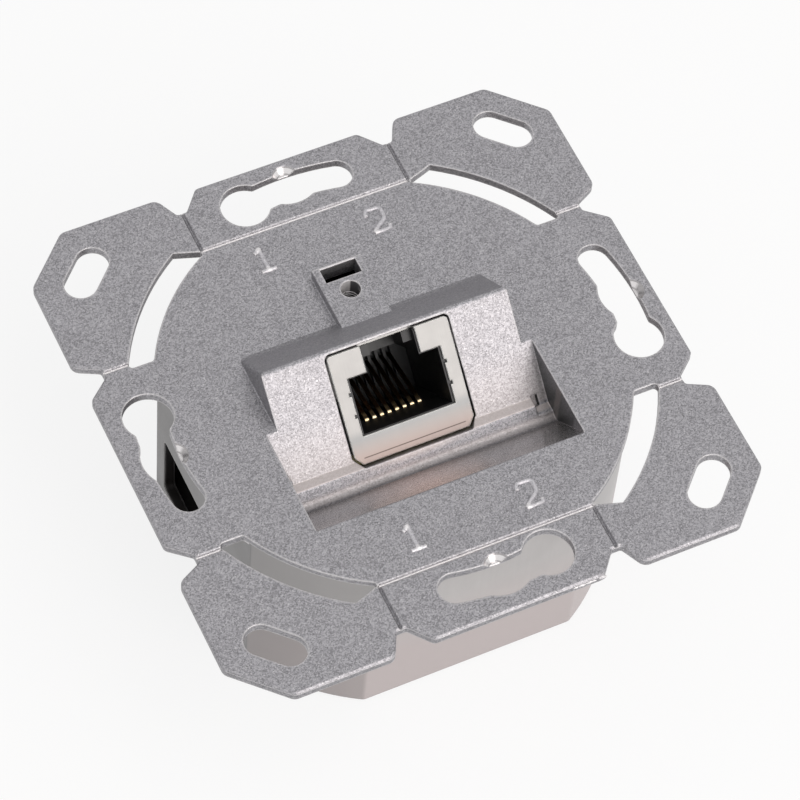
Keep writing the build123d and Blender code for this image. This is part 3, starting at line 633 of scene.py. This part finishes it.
def boardLaminate():
    values = boardSet
    material, wire, place = startFinish("boardLaminate")
    x, y, z = parts(wire, place)
    into = slopePlace(y, z)[1] * -1
    nx, ny, nz = facingParts(wire)
    flat = abs(slopeParts(ny, nz)[0]).above(*values["facing"])
    threads = joinedVector(wire, x * values["weaveSize"], into * values["weaveSize"], 0.0)
    weave = noise(wire, threads, *values["weaveNoise"])
    slanted = x + into * values["trackSlant"]
    stripes = wire.maths("PINGPONG", slanted, values["trackPitch"]) - values["trackMiddle"]
    track = abs(stripes).below(*values["trackWidth"]) * into.above(*values["trackStart"])
    mask = wire.tint(weave, values["dark"], values["light"])
    mask = wire.tint(track * flat * values["trackShare"], mask, values["track"])
    endFinish(wire, {
        "Base Color": wire.tint(flat, values["laminate"], mask),
        "Roughness": values["rough"],
        "Normal": relief(wire, track + weave * values["bumpWeave"], values["bumpHeight"]),
    })
    return material


finishes = {
    "cast_zinc": castZinc(),
    "housing_metal": housingMetal(),
    "nickel_sheet": sheetMetal("jack"),
    "tinned_bronze": sheetMetal("tinned"),
    "zinc_steel": sheetMetal("zincPlated"),
    "gold_plate": sheetMetal("gold"),
    "black_plastic": plastic("black"),
    "white_plastic": plastic("white"),
    "board_green": boardLaminate(),
}
slotOfNode = {entry["node"]: entry["material_slot"] for entry in frame["record"]["subparts"]}
for name, node in nodes.items():
    node.data.materials.clear()
    node.data.materials.append(finishes[slotOfNode[name]])
print("finishes on all nodes")


def addPiece(name, mesh, slot, finish=None):
    piece = bpy.data.objects.new(name, mesh)
    scene.collection.objects.link(piece)
    mesh.materials.clear()
    mesh.materials.append(finish or finishes[slot])
    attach(piece, "root")
    return piece


def finishedMesh(thing):                        # the mesh of a curve, or of an object with modifiers
    bpy.context.view_layer.update()
    return bpy.data.meshes.new_from_object(thing.evaluated_get(bpy.context.evaluated_depsgraph_get()))


curveSet = {"order": 3, "steps": 8}               # of the rounded strokes


def meshFromCurve(name, lines, thickness, resolution=4):    # lines and thickness in mm
    data = bpy.data.curves.new(name, "CURVE")
    data.dimensions = "3D"
    data.bevel_depth = thickness * mm
    data.bevel_resolution = resolution
    data.use_fill_caps = True
    for kind, points in lines:
        spline = data.splines.new(kind)
        spline.points.add(len(points) - 1)
        for spot, point in zip(spline.points, points):
            spot.co = (*(Vector(point) * mm), 1.0)
        if kind == "NURBS":
            spline.order_u = curveSet["order"]
            spline.use_endpoint_u = True
            spline.resolution_u = curveSet["steps"]
    helper = bpy.data.objects.new(name + "Helper", data)
    scene.collection.objects.link(helper)
    mesh = finishedMesh(helper)
    mesh.name = name
    bpy.data.objects.remove(helper)
    return mesh


# Raised cast marks beside the upper and lower edges of the disc
markSet = {
    "level": 1.08,
    "stroke": 0.32,
    "height": 3.5,
    "brighter": 0.45,
    "places": {
        "castMarkTopLeft": ("one", -7.6, 20.2),
        "castMarkTopRight": ("two", 7.8, 20.2),
        "castMarkLowLeft": ("one", -7.6, -23.2),
        "castMarkLowRight": ("two", 7.7, -23.2),
    },
    "one": [
        ("POLY", [(0.0, 0.0), (0.0, 1.0)]),
        ("NURBS", [(0.0, 1.0), (-0.1, 0.86), (-0.24, 0.8)]),
        ("POLY", [(-0.28, 0.0), (0.28, 0.0)]),
    ],
    "two": [
        ("NURBS", [
            (-0.3, 0.74), (-0.29, 1.02), (0.02, 1.0), (0.32, 0.98),
            (0.33, 0.68), (0.28, 0.44), (-0.05, 0.26), (-0.3, 0.0),
        ]),
        ("POLY", [(-0.3, 0.0), (0.32, 0.0), (0.35, 0.16)]),
    ],
}
markFinish = castZinc("castMarkZinc", markSet["brighter"])
for markName, (digit, x, y) in markSet["places"].items():
    size = markSet["height"]
    lines = [
        (kind, [(x + px * size, y + py * size, markSet["level"]) for px, py in points])
        for kind, points in markSet[digit]
    ]
    addPiece(markName, meshFromCurve(markName, lines, markSet["stroke"]), "cast_zinc", markFinish)
print("cast marks made")

# Thread in the cover screw's hole
threadSet = {
    "x": 0.0,
    "y": 12.85,
    "low": -0.9,
    "high": 0.4,
    "radius": 1.27,
    "pitch": 0.5,
    "ridge": 0.1,
    "turnSteps": 16,
}
coil = []
turns = (threadSet["high"] - threadSet["low"]) / threadSet["pitch"]
for step in range(int(turns * threadSet["turnSteps"]) + 1):
    turned = step / threadSet["turnSteps"]
    coil.append((
        threadSet["x"] + threadSet["radius"] * math.cos(turned * 2 * math.pi),
        threadSet["y"] + threadSet["radius"] * math.sin(turned * 2 * math.pi),
        threadSet["low"] + turned * threadSet["pitch"],
    ))
threadMesh = meshFromCurve("coverScrewThread", [("POLY", coil)], threadSet["ridge"], 1)
addPiece("coverScrewThread", threadMesh, "cast_zinc")
print("thread made")

# Screws with a cross recess, turned from their outline in mm and then cut
screwSet = {
    "housing": {
        "node": "housing_screws",
        "profile": [
            (0.0, 0.0), (2.62, 0.0), (2.8, 0.12), (1.45, 1.35),
            (1.45, 9.7), (1.15, 10.0), (0.0, 10.0),
        ],
        "places": [Vector((17.6, 15.6, -28.7)), Vector((-17.6, 15.6, -28.7))],
        "axis": (0, 0, 1),
        "recess": 1.35,
    },
    "clamp": {
        "node": "clamp_screws",
        "profile": [
            (0.0, 0.0), (1.7, 0.0), (2.4, 0.35), (2.6, 0.9), (2.6, 1.8),
            (1.45, 1.8), (1.45, 8.5), (1.2, 8.8), (0.0, 8.8),
        ],
        "places": [Vector((-20.0, 8.3, -24.1)), Vector((-20.0, -8.3, -24.1))],
        "axis": (0, 0, 1),
        "recess": 1.2,
    },
    "board": {
        "node": "board_screws",
        "profile": [
            (0.0, 0.0), (1.5, 0.0), (2.0, 0.3), (2.2, 0.75), (2.2, 1.4),
            (1.2, 1.4), (1.2, 5.8), (1.0, 6.0), (0.0, 6.0),
        ],
        "places": [fromSlope(-12.0, -9.5, -4.2), fromSlope(12.0, -9.5, -4.2)],
        "axis": (0, 1, 1),
        "recess": 1.0,
    },
}
recessSet = {"depth": 1.1, "above": 0.22, "slot": 0.62, "taper": 0.45}
turnedSet = {"steps": 40, "weld": 0.0005}


def crossCutter(reach):
    cutter = bmesh.new()
    for spin in (0, 90):
        arm = bmesh.ops.create_cube(cutter, size=1.0)["verts"]
        for vert in arm:
            deep = vert.co.z > 0
            narrow = recessSet["taper"] if deep else 1.0
            vert.co = Vector((
                vert.co.x * 2 * reach * narrow,
                vert.co.y * recessSet["slot"] * narrow,
                recessSet["depth"] if deep else -recessSet["above"],
            ))
        turn = Matrix.Rotation(math.radians(spin), 3, "Z")
        bmesh.ops.rotate(cutter, verts=arm, cent=(0, 0, 0), matrix=turn)
    mesh = bpy.data.meshes.new("cutter")
    cutter.to_mesh(mesh)
    cutter.free()
    return mesh


def turnedScrew(profile):
    turned = bmesh.new()
    verts = [turned.verts.new((radius, 0, height)) for radius, height in profile]
    edges = [turned.edges.new(pair) for pair in zip(verts, verts[1:])]
    bmesh.ops.spin(
        turned, geom=verts + edges, cent=(0, 0, 0), axis=(0, 0, 1),
        angle=2 * math.pi, steps=turnedSet["steps"], use_merge=True,
    )
    bmesh.ops.remove_doubles(turned, verts=turned.verts[:], dist=turnedSet["weld"])
    bmesh.ops.recalc_face_normals(turned, faces=turned.faces[:])
    mesh = bpy.data.meshes.new("screw")
    turned.to_mesh(mesh)
    turned.free()
    return mesh


def recessedScrew(values):
    body = bpy.data.objects.new("screwBody", turnedScrew(values["profile"]))
    tool = bpy.data.objects.new("screwTool", crossCutter(values["recess"]))
    for helper in (body, tool):
        scene.collection.objects.link(helper)
    cut = body.modifiers.new("recess", "BOOLEAN")
    cut.object = tool
    cut.solver = "EXACT"
    cut.use_self = True
    screw = finishedMesh(body)
    for helper in (body, tool):
        bpy.data.objects.remove(helper)
    return screw


for kind, values in screwSet.items():
    pair = bmesh.new()
    screw = recessedScrew(values)
    tilt = Vector((0, 0, 1)).rotation_difference(Vector(values["axis"])).to_matrix().to_4x4()
    for place in values["places"]:
        placed = screw.copy()
        placed.transform(Matrix.Translation(place * mm) @ tilt @ Matrix.Scale(mm, 4))
        pair.from_mesh(placed)
    mesh = bpy.data.meshes.new(kind + "Screws")
    pair.to_mesh(mesh)
    pair.free()
    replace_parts(addPiece(kind + "Screws", mesh, "zinc_steel"), values["node"])
print("screws made")

# Bits of casting flash along the lower tab's rim, as ragged little lumps
flashSet = {
    "seed": 7,
    "count": 5,
    "start": 7.4,
    "pitch": 0.8,
    "stray": 0.3,
    "y": -35.02,
    "z": 0.62,
    "sizes": [(0.35, 0.7), (0.14, 0.26), (0.16, 0.34)],
    "rag": 0.22,
}
rng = random.Random(flashSet["seed"])
flash = bmesh.new()
for index in range(flashSet["count"]):
    stray = rng.uniform(-flashSet["stray"], flashSet["stray"])
    middle = Vector((flashSet["start"] + flashSet["pitch"] * (index + stray), flashSet["y"], flashSet["z"]))
    lump = bmesh.ops.create_icosphere(flash, subdivisions=2, radius=1.0)["verts"]
    size = Vector([rng.uniform(*span) for span in flashSet["sizes"]])
    for vert in lump:
        rag = 1 + rng.uniform(-flashSet["rag"], flashSet["rag"])
        vert.co = (middle + vert.co * size * rag) * mm
flashMesh = bpy.data.meshes.new("castFlash")
flash.to_mesh(flashMesh)
flash.free()
addPiece("castFlash", flashMesh, "cast_zinc", markFinish)
print("casting flash made")

# Floor, background and lamps
stageSet = {
    "floorShade": (0.92, 0.92, 0.92, 1.0),
    "floorGlow": 0.82,
    "floorReach": 3.0,
    "floorGap": 0.00002,
    "white": (1, 1, 1, 1),
    "worldFill": 0.62,
    "front": {
        "direction": (0.33, -0.79, 0.52),
        "distance": 0.9,
        "size": (0.6, 0.75),
        "power": 3.7,
        "tone": (1.0, 0.95, 0.925),
    },
    "top": {
        "direction": (0.15, -0.33, 0.93),
        "distance": 1.0,
        "size": (0.5, 0.5),
        "power": 1.4,
        "tone": (1.0, 0.97, 0.955),
    },
}


def seenDirectly(wire):                         # by the camera, or in metal and through glass
    eye = wire.make("ShaderNodeLightPath", out="Is Camera Ray")
    mirrored = wire.make("ShaderNodeLightPath", out="Is Glossy Ray")
    return eye.larger(mirrored).larger(wire.make("ShaderNodeLightPath", out="Is Transmission Ray"))


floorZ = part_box("rear_housing")[0].z - stageSet["floorGap"]     # just clear of the flat back
reach = stageSet["floorReach"]
corners = [(x, y, floorZ) for x, y in ((-reach, -reach), (reach, -reach), (reach, reach), (-reach, reach))]
floorMesh = bpy.data.meshes.new("floor")
floorMesh.from_pydata(corners, [], [(0, 1, 2, 3)])
floor = bpy.data.objects.new("floor", floorMesh)
scene.collection.objects.link(floor)
floorMaterial, wire = bareMaterial("paleFloor")
plain = wire.make("ShaderNodeBsdfDiffuse", None, {"Color": stageSet["floorShade"]})
white = wire.make("ShaderNodeEmission", None, {"Color": stageSet["white"], "Strength": 1.0})
share = seenDirectly(wire) * stageSet["floorGlow"]
mixed = wire.make("ShaderNodeMixShader", None, {0: share, 1: plain, 2: white})
wire.make("ShaderNodeOutputMaterial", None, {"Surface": mixed})
floorMesh.materials.append(floorMaterial)

world = bpy.data.worlds.new("studio")
scene.world = world
world.use_nodes = True
world.node_tree.nodes.clear()
wire = Wire(world.node_tree)
dim = {"Color": stageSet["white"], "Strength": stageSet["worldFill"]}
fill = wire.make("ShaderNodeBackground", None, dim)
clear = wire.make("ShaderNodeBackground", None, {"Color": stageSet["white"], "Strength": 1.0})
mixed = wire.make("ShaderNodeMixShader", None, {0: seenDirectly(wire), 1: fill, 2: clear})
wire.make("ShaderNodeOutputWorld", None, {"Surface": mixed})

for lampName in ("front", "top"):
    values = stageSet[lampName]
    lampData = bpy.data.lights.new(lampName + "Lamp", "AREA")
    lampData.shape = "RECTANGLE"
    lampData.size, lampData.size_y = values["size"]
    lampData.color = values["tone"]
    lampData.energy = values["power"]
    lamp = bpy.data.objects.new(lampName + "Lamp", lampData)
    scene.collection.objects.link(lamp)
    toward = Vector(values["direction"]).normalized()
    lamp.location = toward * values["distance"]
    lamp.rotation_euler = toward.to_track_quat("Z", "Y").to_euler()
scene.view_settings.view_transform = "Standard"
print("stage lit")
